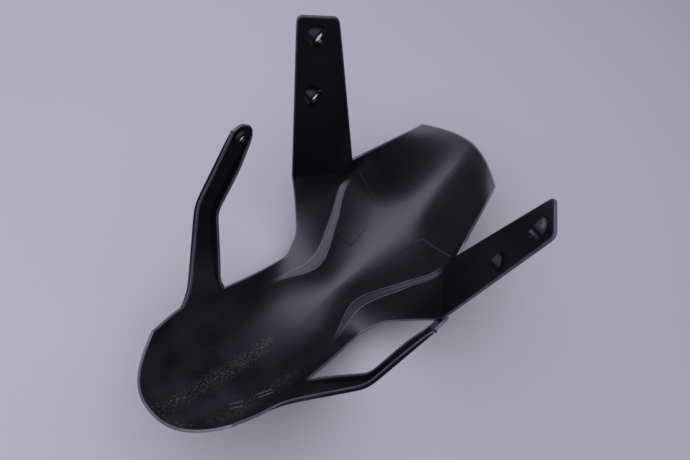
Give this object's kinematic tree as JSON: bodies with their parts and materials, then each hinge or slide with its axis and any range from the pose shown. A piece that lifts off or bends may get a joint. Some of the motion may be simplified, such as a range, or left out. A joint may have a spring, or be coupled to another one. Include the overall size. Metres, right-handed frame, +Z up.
{
  "type": "motorcycle front fender",
  "caption": "Moulded front wheel fender: an arched trough with two flat fork arms carrying bolt bosses and two folded rear stays with tip bosses.",
  "frame": {"origin": "on the surface it lies on, under the middle of its box, in the mirror plane", "axes": "+X towards the pointed front end, +Y to the left, +Z up, with the fender lying on its crown, inside up"},
  "size_m": [0.5234, 0.3284, 0.3327],
  "materials": {
    "fender": "unpainted black moulded plastic, satin inside, with worn edges, scuffs and light dust"
  },
  "bodies": {
    "root": {"fender": "fender"}
  },
  "joints": []
}
